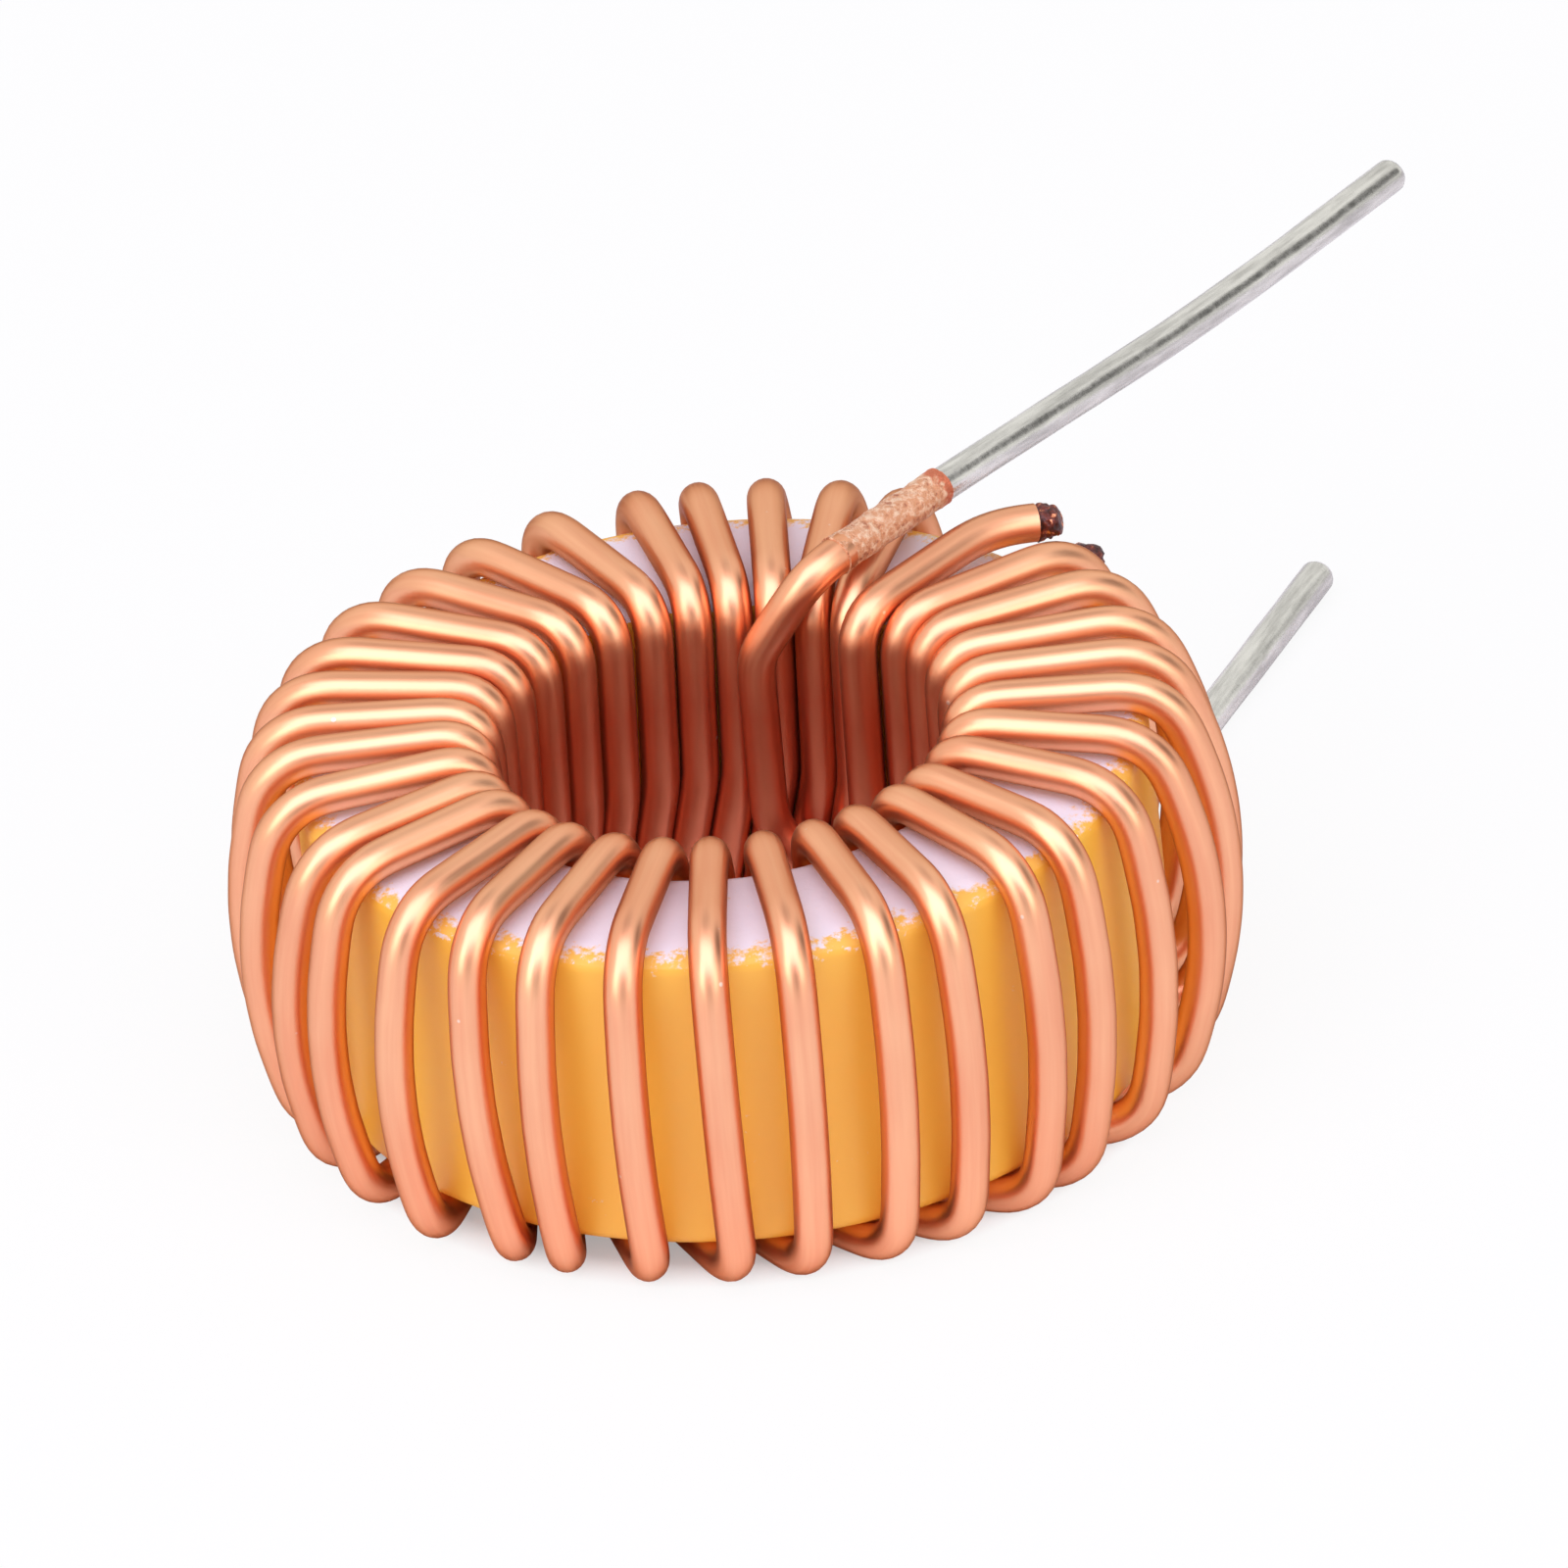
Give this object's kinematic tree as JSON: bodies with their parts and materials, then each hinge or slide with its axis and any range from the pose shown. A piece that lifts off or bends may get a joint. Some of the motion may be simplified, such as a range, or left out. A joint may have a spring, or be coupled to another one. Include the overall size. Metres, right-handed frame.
{
  "type": "toroidal inductor",
  "caption": "Toroidal inductor: enamelled copper wire wound once round a coated powder ring, with two tinned leads and two clipped ends",
  "frame": {"origin": "on the ring's axis, at the level of the lowest wire surface", "axes": "+Z along the ring's axis, out of its white face; X and Y across the ring, with both leads between +X and +Y"},
  "size_m": [0.0186, 0.02, 0.0069],
  "materials": {
    "core_coat": "smooth yellow-orange coat on a pressed powder ring",
    "face_coat": "matt lavender-white coat",
    "copper_enamel": "clear glossy enamel over drawn copper",
    "tin": "dipped tin, drawn out along the wire",
    "scraped_enamel": "rough, crumpled and half scraped off",
    "char": "burnt enamel bead"
  },
  "bodies": {
    "root": {"core": "core_coat", "white_face_coat": "face_coat", "first_strand": "copper_enamel", "second_strand": "copper_enamel", "upper_lead_tin": "tin", "lower_lead_tin": "tin", "scraped_enamel": "scraped_enamel", "upper_burnt_end": "char", "side_burnt_end": "char"}
  },
  "joints": []
}
